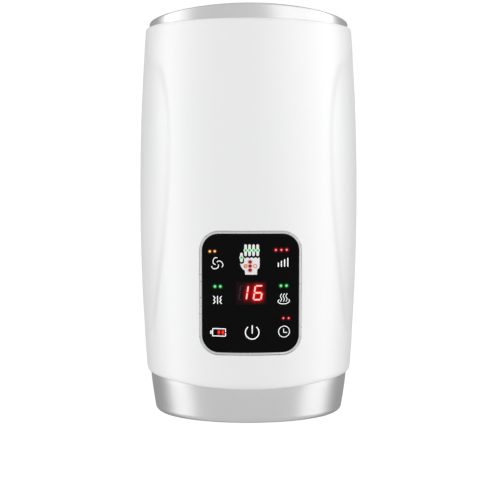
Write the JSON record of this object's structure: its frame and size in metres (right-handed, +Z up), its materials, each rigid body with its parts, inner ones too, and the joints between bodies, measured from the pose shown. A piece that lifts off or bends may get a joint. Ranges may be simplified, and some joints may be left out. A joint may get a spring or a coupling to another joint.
{
  "type": "hand massager",
  "caption": "Oval barrel hand massager with a hand opening at one end, a curved black touch panel on top, inner air press cushions and a domed massage floor.",
  "frame": {"origin": "on the surface that the feet stand on, under the middle of the barrel, 1.3 mm behind the exact middle of the overall length", "axes": "+Z up; +Y along the barrel from the hand opening to the domed fingertip end; +X to the right of a user who looks down on the panel with the hand opening towards them"},
  "size_m": [0.12, 0.2234, 0.1021],
  "materials": {
    "white_shell": "smooth white gloss",
    "silver_trim": "satin silver",
    "bezel": "bright satin",
    "black_glass": "black gloss glass with printed symbols",
    "dark_plastic": "matt black",
    "circuit_board": "green solder mask",
    "digit_red": "red lit digits in a dark face",
    "lamps": "clear lamp bodies",
    "foot_rubber": "matt grey rubber",
    "frame_plastic": "moulded grey plastic",
    "screws": "zinc plated",
    "collar": "soft dark grey",
    "lining_cloth": "grey knitted lining",
    "airbag_film": "translucent film",
    "dome_plastic": "smooth massage domes",
    "heating_film": "polyimide film with printed track",
    "motor_can": "plain steel",
    "heavy_metal": "sintered metal",
    "crank_plastic": "natural acetal",
    "diaphragm": "black rubber",
    "valve_coil": "wound coil in a yoke",
    "air_tube": "clear silicone tube",
    "battery": "blue sleeved cells",
    "components": "black component bodies",
    "wires": "insulated leads",
    "socket_metal": "plated shell"
  },
  "bodies": {
    "housing": {"upper_shell": "white_shell", "lower_shell": "white_shell", "mouth_ring": "silver_trim", "rear_cap": "silver_trim", "panel_bezel": "bezel", "touch_panel": "black_glass", "light_box": "dark_plastic", "display_board": "circuit_board", "digit_display": "digit_red", "indicator_lamps": "lamps", "rubber_feet": "foot_rubber", "front_plate": "frame_plastic", "rear_bulkhead": "frame_plastic", "end_screws": "screws", "upper_frame": "frame_plastic", "lower_frame": "frame_plastic", "frame_screws": "screws", "mouth_collar": "collar", "chamber_lining": "lining_cloth", "palm_airbag": "airbag_film", "finger_airbag": "airbag_film", "massage_plate": "dome_plastic", "heating_film": "heating_film", "floor_pad": "lining_cloth", "vibration_motor": "motor_can", "vibration_clip": "frame_plastic", "pump_motor": "motor_can", "pump_housing": "dark_plastic", "pump_diaphragm": "diaphragm", "pump_head": "dark_plastic", "pump_cradle": "frame_plastic", "air_manifold": "crank_plastic", "palm_valve_body": "valve_coil", "palm_valve_spring": "motor_can", "finger_valve_body": "valve_coil", "finger_valve_spring": "motor_can", "supply_tube": "air_tube", "palm_tube": "air_tube", "finger_tube": "air_tube", "battery_cells": "battery", "battery_tray": "dark_plastic", "main_board": "circuit_board", "board_components": "components", "wiring_loom": "wires", "charging_socket": "socket_metal", "socket_board": "circuit_board"},
    "palm_press": {"palm_press_plate": "frame_plastic", "palm_cushion": "lining_cloth"},
    "finger_press": {"finger_press_plate": "frame_plastic", "finger_cushion": "lining_cloth"},
    "pump_rotor": {"pump_crank": "crank_plastic"},
    "vibration_rotor": {"vibration_weight": "heavy_metal"},
    "palm_plunger": {"palm_valve_plunger": "motor_can"},
    "finger_plunger": {"finger_valve_plunger": "motor_can"}
  },
  "joints": [
    {"name": "palm_press_slide", "type": "slide", "parent": "housing", "child": "palm_press", "axis": [0, 0, -1], "range_m": [0, 0.012], "stiffness_N_per_m": 400, "springref_m": -0.005, "deforming": ["palm_airbag"]},
    {"name": "finger_press_slide", "type": "slide", "parent": "housing", "child": "finger_press", "axis": [0, 0, -1], "range_m": [0, 0.01], "stiffness_N_per_m": 400, "springref_m": -0.005, "deforming": ["finger_airbag"]},
    {"name": "pump_crank_spin", "type": "hinge", "parent": "housing", "child": "pump_rotor", "pos_m": [-0.014, 0.022, 0.0865], "axis": [0, 1, 0], "continuous": true},
    {"name": "vibration_weight_spin", "type": "hinge", "parent": "housing", "child": "vibration_rotor", "pos_m": [0.01, -0.062, 0.0132], "axis": [1, 0, 0], "continuous": true},
    {"name": "palm_valve_stroke", "type": "slide", "parent": "housing", "child": "palm_plunger", "axis": [0, -1, 0], "range_m": [0, 0.0015], "stiffness_N_per_m": 120, "springref_m": -0.001, "deforming": ["palm_valve_spring"]},
    {"name": "finger_valve_stroke", "type": "slide", "parent": "housing", "child": "finger_plunger", "axis": [0, -1, 0], "range_m": [0, 0.0015], "stiffness_N_per_m": 120, "springref_m": -0.001, "deforming": ["finger_valve_spring"]}
  ]
}
